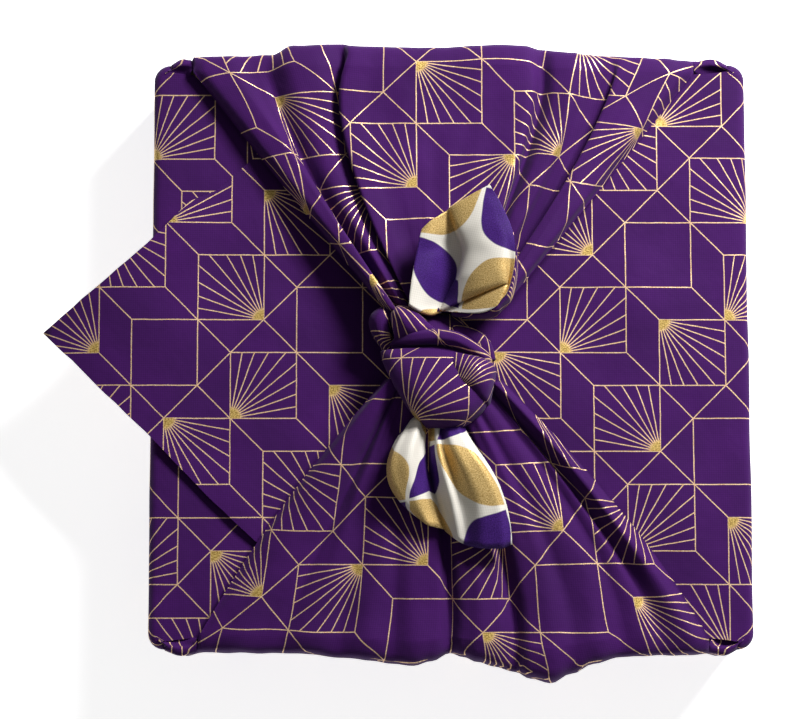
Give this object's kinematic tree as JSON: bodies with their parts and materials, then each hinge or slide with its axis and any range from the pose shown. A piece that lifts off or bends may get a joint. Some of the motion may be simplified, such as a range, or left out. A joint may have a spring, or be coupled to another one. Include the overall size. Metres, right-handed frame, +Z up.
{
  "type": "furoshiki wrap on a gift box",
  "caption": "Square cotton cloth folded diagonally over a flat square box and knotted on top, with a pointed flap past one edge and two free ends cupped open.",
  "frame": {"origin": "centre of the flat underside of the wrapped box", "axes": "+Z up from the surface it stands on, -X towards the flap's overhanging point, +Y towards the knot's shorter end"},
  "size_m": [0.3229, 0.2907, 0.0849],
  "materials": {
    "printed_cotton": "plain-weave cotton, deep purple with fine metallic gold lines, cream reverse with purple and gold leaves",
    "grey_board": "uncoated board, hidden under the cloth"
  },
  "bodies": {
    "root": {"furoshiki_cloth": "printed_cotton", "gift_box": "grey_board"}
  },
  "joints": []
}
